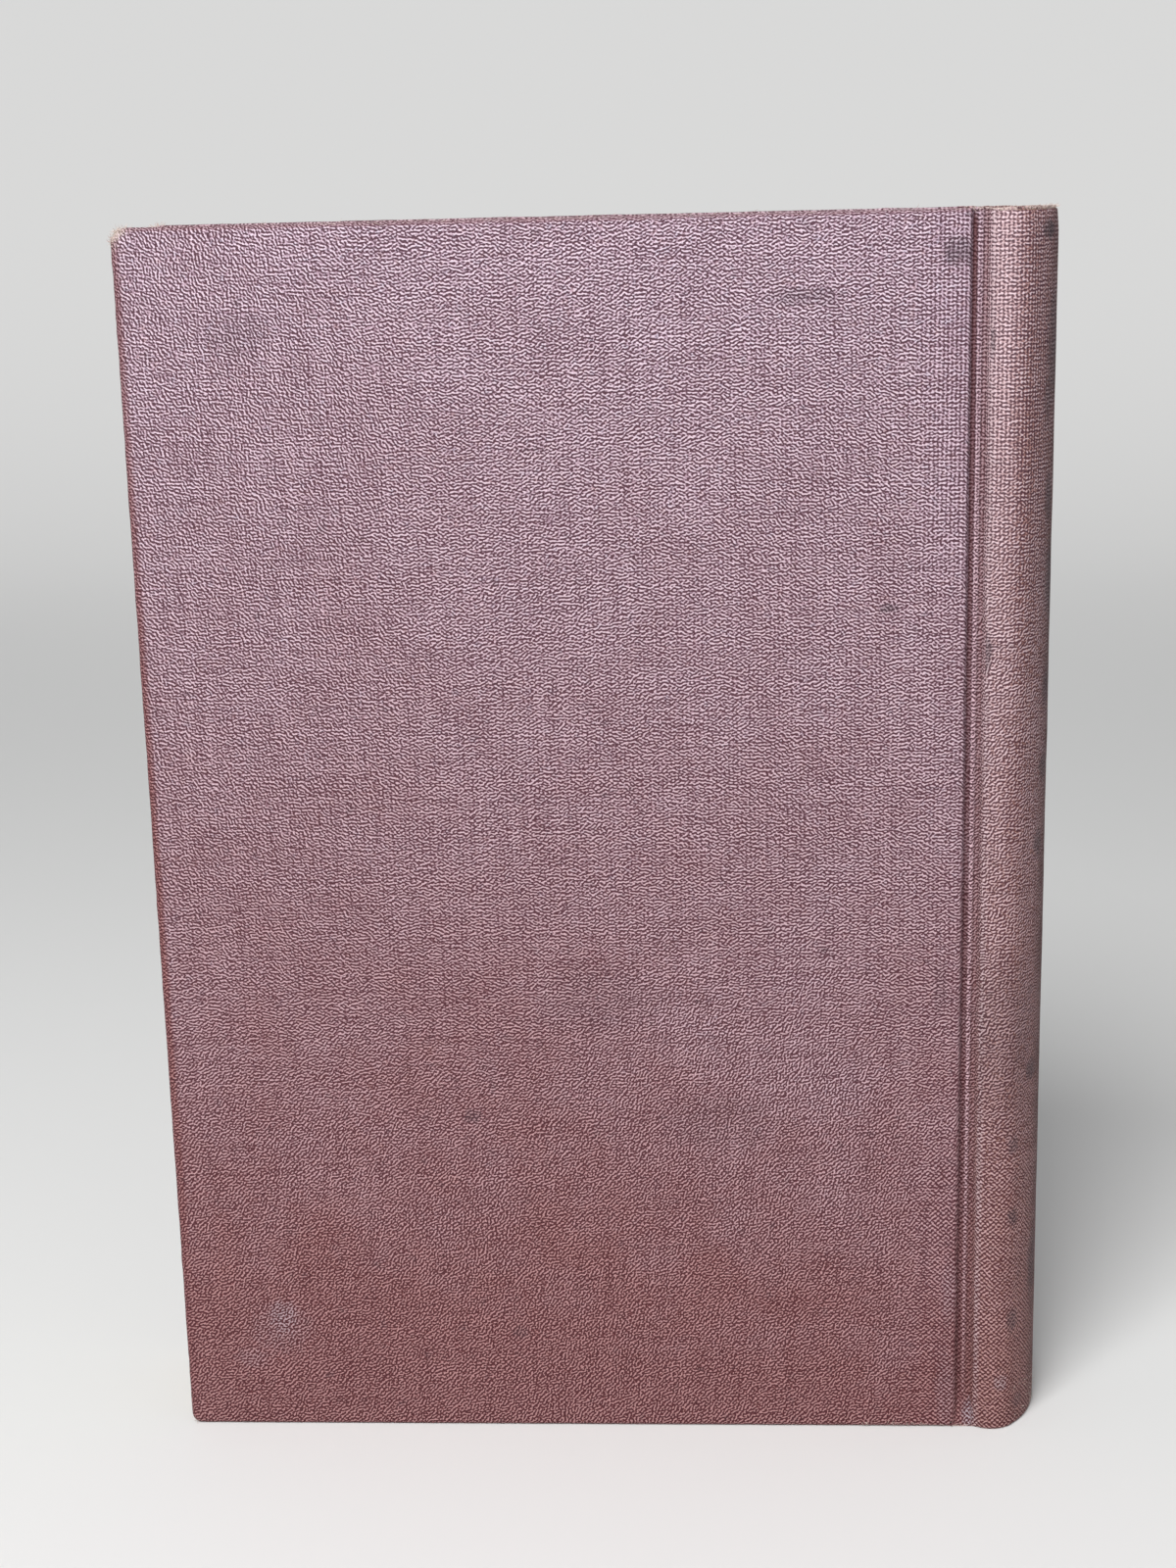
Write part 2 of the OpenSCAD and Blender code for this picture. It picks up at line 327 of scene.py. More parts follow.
# Marks on the cloth: place across it from the fore-edge and up it from the tail, half width and half
# height, all in millimetres, and strength
BACK_DARK_MARKS = (
    (134.5, 203.5, 2.6, 2.2, 0.6), (124.0, 147.0, 1.5, 0.8, 0.6), (52.8, 59.0, 1.6, 1.2, 0.4),
    (110.5, 197.0, 6.0, 1.5, 0.32), (19.3, 192.5, 6.0, 3.5, 0.18), (133.0, 82.0, 1.4, 5.0, 0.2),
    (60.0, 18.0, 1.5, 1.2, 0.3), (96.0, 58.0, 9.0, 5.0, 0.14), (75.0, 80.0, 10.0, 6.0, 0.12),
)
BACK_PALE_MARKS = (
    (17.8, 20.8, 2.6, 3.4, 0.34), (17.0, 19.0, 5.5, 4.5, 0.14), (12.0, 13.0, 3.0, 2.0, 0.14),
    (140.6, 2.2, 1.6, 2.6, 0.5), (134.9, 8.0, 1.8, 7.0, 0.16), (135.2, 26.0, 1.3, 7.0, 0.15),
)
SPINE_DARK_MARKS = (
    (141.6, 189.5, 1.2, 2.6, 0.7), (142.2, 139.5, 1.0, 3.0, 0.6), (154.0, 206.5, 2.2, 1.6, 0.9),
    (157.0, 188.0, 3.0, 9.0, 0.6), (154.8, 180.0, 1.4, 4.0, 0.5), (156.0, 164.0, 1.8, 4.0, 0.6),
    (158.0, 150.0, 3.0, 6.0, 0.6), (157.0, 132.0, 2.4, 3.0, 0.6), (156.5, 119.0, 2.2, 2.6, 0.6),
    (154.8, 106.0, 1.8, 2.6, 0.6), (153.5, 66.0, 2.0, 2.0, 0.7), (148.6, 53.5, 1.3, 1.8, 0.5),
    (147.0, 72.0, 7.0, 15.0, 0.26),
    (148.8, 40.0, 1.3, 1.8, 0.55), (149.2, 20.5, 1.4, 2.2, 0.55), (151.3, 4.5, 1.6, 1.4, 0.35),
    (156.5, 29.0, 2.4, 6.0, 0.55),
)
SPINE_PALE_MARKS = ((139.6, 2.0, 2.0, 2.6, 0.55), (147.0, 9.0, 1.2, 1.6, 0.3))


class OnCloth:
    """Where a point lies on the case cloth, and what changes slowly over it.

    Its flat coordinates are millimetres across the case, from the back fore-edge, and up it."""

    def __init__(self, s, shift):
        self.u, self.v, _ = s.split(s.node("ShaderNodeUVMap", {"uv_map": "cloth"}))
        self.flat = s.join(self.u + shift, self.v)
        self.height = self.v / HEAD
        self.waist = self.height * (1.0 - self.height) * 4.0
        self.over_spine = self.u.smooth(JOINT_EDGE + 0.8, SPINE_EDGE + 0.4)
        self.broad = s.noise(self.flat, 0.021, 3.0, 0.6)
        self.patch = s.noise(self.flat, 0.10, 4.0, 0.65)
        self.grit = s.noise(self.flat, 3.0, 2.0, 0.8)


def threads(s, at):
    """Height of the threads: short ripples that lean by place, crossing threads, slubs and grit"""
    u, v = at.u, at.v
    spacing = sizes().weave / MM
    pitch = 2 * pi / spacing
    low = at.height.smooth(0.50, 0.22)
    calm = u.smooth(JOINT_EDGE - 12.0, JOINT_EDGE - 2.0) * (at.height - 0.5).size().smooth(0.16, 0.34)
    lean = (at.broad - 0.5) * 1.6 + u.smooth(70.0, 10.0) * at.height * -0.8 + low * 0.75
    turn = (lean * (1.0 - at.over_spine) + at.over_spine * 0.5) * (1.0 - calm) + pi / 2
    ripple = s.ripples(at.flat, spacing * 0.84, turn)
    drift = (s.noise(at.flat, 0.7, 1.0) - 0.5) * (6.0 - calm * 3.0)
    straight = (u * pitch + drift).sine() + (v * pitch - drift).sine()
    slanted = ((u + v) * (pitch * 0.75) + drift).sine() + ((u - v) * (pitch * 0.75) - drift).sine()
    weave = straight * (1.0 - low) + slanted * low
    slubs = s.noise(s.join(u * 1.5, v * 0.05), 1.0, 1.0) + s.noise(s.join(u * 0.05, v * 1.5), 1.0, 1.0)
    relief = (ripple - 0.5) * (1.15 - calm * 0.5) + weave * (calm * 0.08 + low * 0.06 + 0.12)
    relief = relief + (slubs - 1.0) * 0.30 + (at.grit - 0.5) * 1.5
    return (relief * (2.3 - at.height * 1.05) + 0.5).clamped()


def dyed_and_lit(s, at, thread, crest):
    """The dye with painted light: dark red towards the tail, greyish pink towards the head from fading and
    painted sheen, browner on the spine
    """
    c = colours()
    edge = at.u.smooth(1.9, 0.3).highest(at.v.smooth(HEAD - 0.9, HEAD - 0.1) * 0.6)
    # Fading and painted sheen from above: paler towards the head, a little paler towards the spine, patchy,
    # less at the edges
    faded_and_lit = at.height * 1.12 - 0.13 + at.u.smooth(60.0, 128.0) * 0.10
    faded_and_lit = (faded_and_lit + (at.broad - 0.5) * 0.4 + (at.patch - 0.5) * 0.35 - edge * 0.5).clamped()
    # Painted sheen along the spine's back shoulder, stronger towards the head
    sheen_band = at.u.smooth(SPINE_EDGE + 6.2, SPINE_EDGE + 1.8) * (at.height * at.height * 0.92 + 0.08)
    # The spine's fading, patchy, with the painted sheen of the band and towards the head
    spine_fade_and_sheen = (sheen_band + (at.patch - 0.5) * 0.4 + (at.height - 0.60) * 0.7).clamped()
    dye = s.mix(at.over_spine, s.mix(faded_and_lit, c.cloth, c.bloom_and_sheen), s.mix(spine_fade_and_sheen, c.spine, SPINE_FADED_AND_LIT))
    tint = s.noise(at.flat, 0.75, 1.0)
    greyer = tint.smooth(0.56, 0.76) * (faded_and_lit * 0.38 + 0.06) * (1.0 - at.over_spine * 0.85)
    dye = s.mix(greyer, dye, GREY_THREAD)
    dye = s.mix(tint.smooth(0.44, 0.26) * 0.32, dye, s.mix(faded_and_lit, RED_THREAD, RED_THREAD_FADED_AND_LIT))
    # Painted shade in the gaps between the threads, away from their crests
    cloth = s.mix(crest, s.mix(0.97, dye, s.mix(faded_and_lit, GAP_SHADE, GAP_SHADE_FADED_AND_LIT)), dye)
    # Painted highlights on the highest thread crests
    cloth = s.mix(thread.smooth(0.74, 1.0) * 0.66, cloth, s.mix(faded_and_lit, GLINT, FADED_GLINT))
    # Painted sheen on the spine's back shoulder, on the crests
    cloth = s.mix(sheen_band * at.over_spine * (crest * 0.36 + 0.06), cloth, SPINE_SHEEN)
    return s.mix(edge * 0.45, cloth, s.mix(crest, c.groove, c.cloth))


def pressed_joint(s, at, crest, cloth):
    """Paints shade on the groove's floor and creases, partly its own darker red, a highlight on its ridge,
    and wear with a highlight on the shoulder beside it
    """
    c = colours()
    sunk = s.attribute("sunk")
    # Painted shade deep in the groove, partly the cloth's own darker red
    cloth = s.mix(sunk * (at.height * 0.6 + 0.28), cloth, s.mix(crest * 0.55, c.groove, c.cloth))
    # Painted highlight along the ridge in the groove, strongest at mid height
    ridge = at.u.smooth(RIDGE_AT - 0.5, RIDGE_AT - 0.1) * at.u.smooth(RIDGE_AT + 0.5, RIDGE_AT + 0.1)
    cloth = s.mix(ridge * crest * (at.waist * 0.8 + 0.04), cloth, RIDGE_HIGHLIGHT)
    # Pale line on the shoulder's edge: patchy wear and a painted highlight
    shoulder_wear_and_highlight = at.u.smooth(SPINE_EDGE - 0.4, SPINE_EDGE + 0.1)
    shoulder_wear_and_highlight = shoulder_wear_and_highlight * at.u.smooth(SPINE_EDGE + 1.3, SPINE_EDGE + 0.3)
    return s.mix(shoulder_wear_and_highlight * (at.patch * 1.4 - 0.1).clamped() * crest * 0.7, cloth, SHOULDER_WEAR_AND_HIGHLIGHT)


def soiled_and_shaded(s, at, cloth):
    """Dark blotches all over, and soot with painted shade on the round back of the spine"""
    blotch = s.noise(at.flat, 0.33, 3.0, 0.6)
    cloth = s.mix(blotch.smooth(0.58, 0.80) * 0.34, cloth, colours().dirt)
    # Soot in patches, and painted shade over the whole round back, where it turns from the light
    round_back = at.u.smooth(SPINE_EDGE + 9.5, SPINE_EDGE + 17.0) * at.over_spine
    soot = s.noise(at.flat, 0.15, 4.0, 0.7).smooth(0.40, 0.62)
    return s.mix(round_back * (soot * 0.40 + 0.24 + at.waist * 0.28), cloth, ROUND_BACK_SOOT_AND_SHADE)


def marks(at, places, ragged):
    """A mask of soft ragged blots at the given places"""
    total = None
    for x, z, wide, high, strength in places:
        across, up = (at.u - x) / wide, (at.v - z) / high
        blot = (across * across + up * up + ragged).smooth(1.7, 0.0) * strength
        total = blot if total is None else total.highest(blot)
    return total


def marked(s, at, crest, cloth, dark_marks, pale_marks):
    """Adds the dark and the pale marks"""
    ragged = (s.noise(at.flat, 0.8, 3.0, 0.7) - 0.5) * 3.0
    if dark_marks:
        broken = crest * -0.35 + 1.15
        cloth = s.mix((marks(at, dark_marks, ragged) * broken).clamped(), cloth, colours().dirt)
    if pale_marks:
        cloth = s.mix(marks(at, pale_marks, ragged) * crest, cloth, PALE_MARK)
    return cloth


def bare_edges(s, at, cloth):
    """Bares the undyed thread where the cloth is worn through"""
    worn = s.attribute("worn")
    bare = (worn + (at.grit - 0.5) * 1.5 + (at.patch - 0.5) * 0.7) * worn.smooth(0.0, 0.12)
    return s.mix(bare.smooth(0.30, 0.75) * 0.85, cloth, colours().thread)


def book_cloth(name, dark_marks=(), pale_marks=(), shift=0.0):
    """The worn cloth. A shift moves its pattern, so that two covers differ"""
    s = Shader(name)
    at = OnCloth(s, shift)
    thread = threads(s, at)
    crest = thread.smooth(0.20, 0.80)
    cloth = dyed_and_lit(s, at, thread, crest)
    cloth = pressed_joint(s, at, crest, cloth)
    cloth = soiled_and_shaded(s, at, cloth)
    cloth = marked(s, at, crest, cloth, dark_marks, pale_marks)
    cloth = bare_edges(s, at, cloth)
    return s.finish(Base_Color=cloth, Roughness=(0.76 - crest * 0.22), Specular_IOR_Level=0.22,
                    bump=(thread, 0.9, 0.20 * MM))


def aged_paper(name, tint, edges=False):
    """Aged paper: a leaf, or the edges of many leaves that lie along Y"""
    s = Shader(name)
    x, y, z, point = s.place()
    cloud = s.noise(point, 0.03, 5.0, 0.6)
    brown = tuple(a * b for a, b in zip(tint, (0.74, 0.60, 0.42)))
    body = s.mix(cloud.smooth(0.35, 0.75) * 0.5, tint, brown)
    rim = z.smooth(14.0, 3.0).highest(z.smooth(196.0, 207.0)).highest(x.smooth(-60.0, -73.0))
    if not edges:
        body = s.mix(rim * 0.4, body, brown)
        fleck = s.noise(point, 0.9, 3.0, 0.7)
        body = s.mix(fleck.smooth(0.66, 0.74) * 0.35, body, (0.35, 0.22, 0.10))
        fibre = s.noise(s.join(x * 1.4, y, z * 0.4), 2.5, 3.0)
        return s.finish(Base_Color=body, Roughness=0.85, bump=(fibre, 0.3, 0.06 * MM))
    leaf = s.noise(s.join(x * 0.02, y * 8.5, z * 0.02), 1.0, 2.0, 0.6)
    section = s.noise(s.join(x * 0.008, y * 1.5, z * 0.008), 1.0, 2.0)
    lines = leaf * 0.65 + section * 0.35
    body = s.mix(lines.smooth(0.58, 0.40) * 0.6, body, (0.33, 0.24, 0.14))
    soil = s.noise(point, 0.09, 4.0, 0.7)
    body = s.mix(soil.smooth(0.48, 0.75) * 0.4, body, (0.38, 0.30, 0.20))
    return s.finish(Base_Color=body, Roughness=0.88, bump=(lines, 0.8, 0.14 * MM))


def card(name, tint, scale):
    """Grey board or brown lining paper, with short fibres"""
    s = Shader(name)
    fibre = s.noise(s.place()[3], scale, 4.0, 0.7)
    body = s.mix(fibre.smooth(0.3, 0.7) * 0.6, tint, tuple(t * 0.6 for t in tint))
    return s.finish(Base_Color=body, Roughness=0.9, bump=(fibre, 0.5, 0.08 * MM))


def woven_mull(name):
    """Open-weave cotton, thin threads with gaps between"""
    s = Shader(name)
    x, y, z, _ = s.place()
    pitch = 2.4
    upright, level = [(way * pitch).sine().size().smooth(0.55, 0.8) for way in (x + y, z)]
    thread = upright.highest(level)
    body = s.mix(thread, (0.40, 0.32, 0.20), (0.80, 0.74, 0.60))
    return s.finish(Base_Color=body, Roughness=0.92, bump=(thread, 0.8, 0.1 * MM))


def wound_silk(name):
    """The bands' thread, in two faded colours that follow each turn round the core"""
    s = Shader(name)
    stripe = s.attribute("stripe").smooth(0.35, 0.65)
    fuzz = s.noise(s.place()[3], 3.0, 3.0, 0.7)
    body = s.mix(stripe, (0.36, 0.08, 0.08), (0.74, 0.64, 0.46))
    body = s.mix(fuzz.smooth(0.45, 0.75) * 0.4, body, (0.30, 0.22, 0.16))
    return s.finish(Base_Color=body, Roughness=0.6, bump=(fuzz, 0.4, 0.05 * MM))


def loose_fibre(name):
    """Undyed cotton fibres, a little grey and red in places"""
    s = Shader(name)
    grime = s.noise(s.place()[3], 0.9, 3.0, 0.7)
    body = s.mix(grime.smooth(0.42, 0.68) * 0.6, colours().thread, (0.34, 0.20, 0.19))
    return s.finish(Base_Color=body, Roughness=0.8)


def dress(piece, material):
    """Gives a piece its one material"""
    piece.data.materials.clear()
    piece.data.materials.append(material)


def choose(piece):
    """Makes a piece the only one selected, in object mode"""
    if bpy.context.object and bpy.context.object.mode != "OBJECT":
        bpy.ops.object.mode_set(mode="OBJECT")
    bpy.ops.object.select_all(action="DESELECT")
    piece.select_set(True)
    bpy.context.view_layer.objects.active = piece


def named(name):
    """Names the primitive that was just added"""
    piece = bpy.context.object
    piece.name = piece.data.name = name
    return piece


def settle(piece):
    """Puts a piece's place into its mesh"""
    choose(piece)
    bpy.ops.object.transform_apply(location=True, rotation=True, scale=True)


def apply_modifiers(piece):
    choose(piece)
    for modifier in list(piece.modifiers):
        bpy.ops.object.modifier_apply(modifier=modifier.name)


def smooth(piece, angle=55):
    choose(piece)
    bpy.ops.object.shade_smooth_by_angle(angle=radians(angle))


def edit(piece, select="DESELECT"):
    """Opens a piece in edit mode, with nothing or all of it selected"""
    choose(piece)
    bpy.ops.object.mode_set(mode="EDIT")
    bpy.ops.mesh.select_all(action=select)


def object_mode():
    bpy.ops.object.mode_set(mode="OBJECT")


def link(thing):
    bpy.context.scene.collection.objects.link(thing)


def up(height):
    return Vector((0, 0, height))


def outward(turn):
    """The level direction at an angle round the spine's centre line"""
    return Vector((cos(turn), sin(turn), 0))


def middle(part):
    """The middle of an edge or face"""
    return sum((v.co for v in part.verts), Vector()) / len(part.verts)


def pick(piece, kind, wanted):
    """Selects the vertices, edges or faces that pass the test, in edit mode, and says how many"""
    bpy.ops.mesh.select_mode(type=kind)
    bpy.ops.mesh.select_all(action="DESELECT")
    mesh = bmesh.from_edit_mesh(piece.data)
    mesh.normal_update()
    count = 0
    for part in {"VERT": mesh.verts, "EDGE": mesh.edges, "FACE": mesh.faces}[kind]:
        chosen = bool(wanted(part))
        part.select_set(chosen)
        count += chosen
    mesh.select_flush_mode()
    bmesh.update_edit_mesh(piece.data)
    return count


def cut_across(axis, places):
    """Cuts the whole piece, in edit mode, with planes across one axis"""
    normal = [float(a == axis) for a in "xyz"]
    for place in places:
        bpy.ops.mesh.select_all(action="SELECT")
        bpy.ops.mesh.bisect(plane_co=[n * place for n in normal], plane_no=normal)


def extrude(move):
    """Draws the selection out by a move and selects the new end"""
    bpy.ops.mesh.extrude_region_move(TRANSFORM_OT_translate={"value": move})


def evenly(low, high, step):
    """Places between two ends, about one step apart"""
    count = max(1, round((high - low) / step))
    return [low + (high - low) * i / count for i in range(1, count)]


def clean(piece):
    """Merges doubles and turns every face outwards"""
    edit(piece, "SELECT")
    bpy.ops.mesh.remove_doubles(threshold=0.01 * MM)
    bpy.ops.mesh.normals_make_consistent(inside=False)
    object_mode()


def trim_foot(piece, low):
    """Cuts off what hangs below a level and closes the cut"""
    edit(piece, "SELECT")
    bpy.ops.mesh.bisect(plane_co=(0, 0, low), plane_no=(0, 0, 1), clear_inner=True, use_fill=True,
                        threshold=0.001 * MM)
    object_mode()


def thicken(piece, thickness, offset=-1.0):
    modifier = piece.modifiers.new("thickness", "SOLIDIFY")
    modifier.thickness, modifier.offset = thickness, offset
    apply_modifiers(piece)


def press(piece, amount, weight, direction="NORMAL", lumps=None):
    """Moves a piece's surface by amount times weight(point), evenly or, given a texture, in lumps"""
    group = piece.vertex_groups.new(name="pressed")
    for v in piece.data.vertices:
        group.add([v.index], weight(v.co), "REPLACE")
    modifier = piece.modifiers.new("pressed", "DISPLACE")
    modifier.vertex_group, modifier.direction, modifier.strength = "pressed", direction, amount
    modifier.mid_level = 0.0
    if lumps:
        modifier.texture, modifier.texture_coords, modifier.mid_level = lumps, "LOCAL", 0.5
    apply_modifiers(piece)
    piece.vertex_groups.clear()


def crumple(piece, strength, size, weight):
    """Raises soft lumps of one size over a piece, by weight(point), and none where it stands"""
    lumps = bpy.data.textures.new("lumps", "CLOUDS")
    lumps.noise_scale = size
    press(piece, strength, lambda p: weight(p) * min(1.0, p.z / (1.2 * MM)), lumps=lumps)
    bpy.data.textures.remove(lumps)


def duplicate(piece, name):
    twin = piece.copy()
    twin.data = piece.data.copy()
    twin.name = twin.data.name = name
    link(twin)
    return twin


def mirrored(piece, name, scale=(1, -1, 1), centre=(0, 0, 0)):
    """A mirrored copy of a piece, on the other side of the book unless told otherwise"""
    twin = duplicate(piece, name)
    edit(twin, "SELECT")
    bpy.ops.transform.resize(value=scale, center_override=centre)
    bpy.ops.mesh.flip_normals()
    object_mode()
    return twin


def upright_plane(name, first, second, low, high):
    """An upright plane from one point to another, between two levels, left open in edit mode"""
    along = second - first
    bpy.ops.mesh.primitive_plane_add(
        size=1, location=(first + second) / 2 + up((low + high) / 2),
        rotation=(pi / 2, 0, atan2(along.y, along.x)))
    plane = named(name)
    plane.scale = (along.length, high - low, 1)
    settle(plane)
    edit(plane)
    return plane


def upright_sheet(name, path, low, high):
    """A thin upright sheet that follows a path across the book, facing the back"""
    sheet = upright_plane(name, path[0], path[1], low, high)
    pick(sheet, "VERT", lambda v: (v.co.xy - path[1].xy).length < 0.01 * MM)
    for a, b in zip(path[1:], path[2:]):
        extrude(b - a)
    bpy.ops.mesh.select_all(action="SELECT")
    bpy.ops.mesh.normals_make_consistent(inside=False)
    mesh = bmesh.from_edit_mesh(sheet.data)
    if sum(f.normal.y * f.calc_area() for f in mesh.faces) > 0:
        bpy.ops.mesh.flip_normals()
    cut_across("z", evenly(low, high, 2.5 * MM))
    object_mode()
    return sheet


def lay_flat_map(piece, unroll):
    """Writes the cloth's flat coordinates in millimetres. unroll(point, face centre) gives metres"""
    layer = piece.data.uv_layers.get("cloth") or piece.data.uv_layers.new(name="cloth")
    for face in piece.data.polygons:
        centre = face.center.copy()
        for loop in face.loop_indices:
            point = piece.data.vertices[piece.data.loops[loop].vertex_index].co
            layer.data[loop].uv = [value / MM for value in unroll(point, centre)]


def lay_values(piece, name, value):
    """Writes value(point) on each point of a piece, for its material"""
    layer = piece.data.attributes.get(name) or piece.data.attributes.new(name, "FLOAT", "POINT")
    layer.data.foreach_set("value", [value(v.co) for v in piece.data.vertices])


def flex(piece, side):
    """Puts the place of a strip between the pages and a cover into its mesh, the same for either side"""
    if side == "back":
        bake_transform(piece)
    else:
        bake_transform(piece)


def near(distance, reach):
    """1 at no distance, down to 0 at reach and beyond"""
    return max(0.0, 1.0 - max(0.0, distance) / reach) ** 1.5


class BOOK_OT_covers(bpy.types.Operator):
    """Model the cloth of both covers, wrapped round the boards and folded in"""
    bl_idname = "book.covers"
    bl_label = "Covers"

    # Where the two fore-edge corners are rounded by wear, from the tail and from the head
    corner_wear = ((0.0, 1.7 * MM), (BOOK_H, 2.4 * MM))

    def shell(self):
        """The wrapped board's outer shape, with rounded corners and edges"""
        centre = ((FORE_X + EDGE_X) / 2, (COVER_LOW.y + COVER_HIGH.y) / 2, BOOK_H / 2)
        bpy.ops.mesh.primitive_cube_add(size=1, location=centre)
        cover = named("back_cover_covering")
        cover.scale = (EDGE_X - FORE_X, COVER_T, BOOK_H)
        settle(cover)
        edit(cover)

        def across(e):
            return abs((e.verts[0].co - e.verts[1].co).y) > COVER_T * 0.9

        for z, radius in self.corner_wear:
            pick(cover, "EDGE", lambda e: across(e) and middle(e).x < 0 and abs(middle(e).z - z) < 1 * MM)
            bpy.ops.mesh.bevel(offset=radius, segments=6)
        pick(cover, "EDGE", lambda e: across(e) and middle(e).x > EDGE_X - 0.01 * MM)
        bpy.ops.mesh.bevel(offset=0.5 * MM, segments=3)
        pick(cover, "EDGE", lambda e: abs((e.verts[0].co - e.verts[1].co).y) < COVER_T * 0.1)
        bpy.ops.mesh.bevel(offset=EDGE_R, segments=5)
        cell = 2.2 * MM
        cut_across("x", [FORE_X + TURN_IN] + evenly(FORE_X + EDGE_R, EDGE_X - EDGE_R, cell))
        cut_across("z", [TURN_IN, BOOK_H - TURN_IN] + evenly(EDGE_R, BOOK_H - EDGE_R, cell))
        return cover

    def mitres(self, cover):
        """The crease where the folded-in margins meet at each corner"""
        inside = COVER_HIGH.y - 0.01 * MM
        for z, slope in ((0.0, 1), (BOOK_H, -1)):
            normal = Vector((1, 0, -slope)).normalized()
            for shift in (-0.3, 0.0, 0.3):
                pick(cover, "FACE", lambda f: f.normal.y > 0.9 and middle(f).x < FORE_X + TURN_IN
                     and abs(middle(f).z - z) < TURN_IN)
                bpy.ops.mesh.bisect(plane_co=Vector((FORE_X, 0, z)) + normal * shift * MM, plane_no=normal)
            pick(cover, "VERT", lambda v: v.co.y > inside and 2 * MM < v.co.x - FORE_X < TURN_IN - 0.1 * MM
                 and abs((v.co - Vector((FORE_X, 0, z))).dot(normal)) < 0.02 * MM)
            bpy.ops.transform.translate(value=(0, -0.25 * MM, 0))

    def open_inside(self, cover):
        """Takes out the middle of the inner face, so that the cloth ends at its folded-in margins"""
        def bare(f):
            m = middle(f)
            inside = f.normal.y > 0.9 and m.x > FORE_X + TURN_IN
            groove_side = m.x > EDGE_X - EDGE_R and m.y > GROOVE_FLOOR - FACE_Y
            return TURN_IN < m.z < BOOK_H - TURN_IN and (inside or groove_side)
        pick(cover, "FACE", bare)
        bpy.ops.mesh.delete(type="FACE")
        object_mode()

    def edges(self, point):
        return point.x - FORE_X, point.z, BOOK_H - point.z

    def outer(self, point):
        return 1.0 if point.y < COVER_HIGH.y - 0.1 * MM else 0.0

    def unroll(self, point, centre):
        depth = point.y + FACE_Y
        inside = centre.y + FACE_Y > COVER_T - 0.2 * MM
        reach = self.edges(centre)
        across, up = point.x - FORE_X, point.z
        if min(reach) == reach[0]:
            across = (-across if inside else across) - depth
        elif min(reach) == reach[1]:
            up = (-up if inside else up) - depth
        else:
            up = (2 * BOOK_H - up if inside else up) + depth
        return across, up

    def worn(self, point):
        fore, tail, head = self.edges(point)
        depth = point.y + FACE_Y
        rim = max(near(fore, 0.8 * MM) * 0.22, near(tail, 0.7 * MM) * 0.2, near(head, 0.7 * MM) * 0.42)
        head_corner = near(hypot(fore, head), 5.4 * MM) * 1.2
        tail_corner = near(hypot(fore, tail), 3.4 * MM) * 0.8
        joint = near(abs(EDGE_X - 5 * MM - point.x), 9 * MM) * near(tail, 1.1 * MM) * 0.75
        return min(1.0, max(rim * (1.0 - 0.5 * min(1.0, depth / COVER_T)), head_corner, tail_corner, joint))

    def execute(self, context):
        back = self.shell()
        self.mitres(back)
        self.open_inside(back)
        crumple(back, 0.10 * MM, 9 * MM, self.outer)
        crumple(back, 0.26 * MM, 1.4 * MM, lambda p: near(min(self.edges(p)), 2.4 * MM) * self.outer(p))
        lay_flat_map(back, self.unroll)
        lay_values(back, "worn", self.worn)
        thicken(back, CLOTH * 0.95)
        smooth(back)
        front = mirrored(back, "front_cover_covering")
        finishes = (book_cloth("back_cloth", BACK_DARK_MARKS, BACK_PALE_MARKS),
                    book_cloth("front_cloth", shift=430.0))
        for side, piece, finish in zip(SIDES, (back, front), finishes):
            dress(piece, finish)
            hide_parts(f"{side}_cover_cloth")
            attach(piece, f"{side}_cover")
        return {"FINISHED"}


def along_spine(point):
    """Distance along the spine's cloth from the back groove, and depth below its outer face"""
    turn = atan2(point.y, point.x - CENTRE.x)
    if point.x > CENTRE.x and abs(turn) <= SPINE_ANGLE and point.x > CORNER.x - SHOULDER_R / 2:
        length = SHOULDER_R * SHOULDER_SWEEP + SPINE_R * (turn + SPINE_ANGLE)
        return length, SPINE_R - hypot(point.x - CENTRE.x, point.y)
    offset = Vector((point.x - CORNER.x, abs(point.y) - abs(CORNER.y)))
    length = SHOULDER_R * (atan2(offset.y, -offset.x) - SHOULDER_ANGLE)
    return (length if point.y < 0 else SPINE_LENGTH - length), SHOULDER_R - offset.length


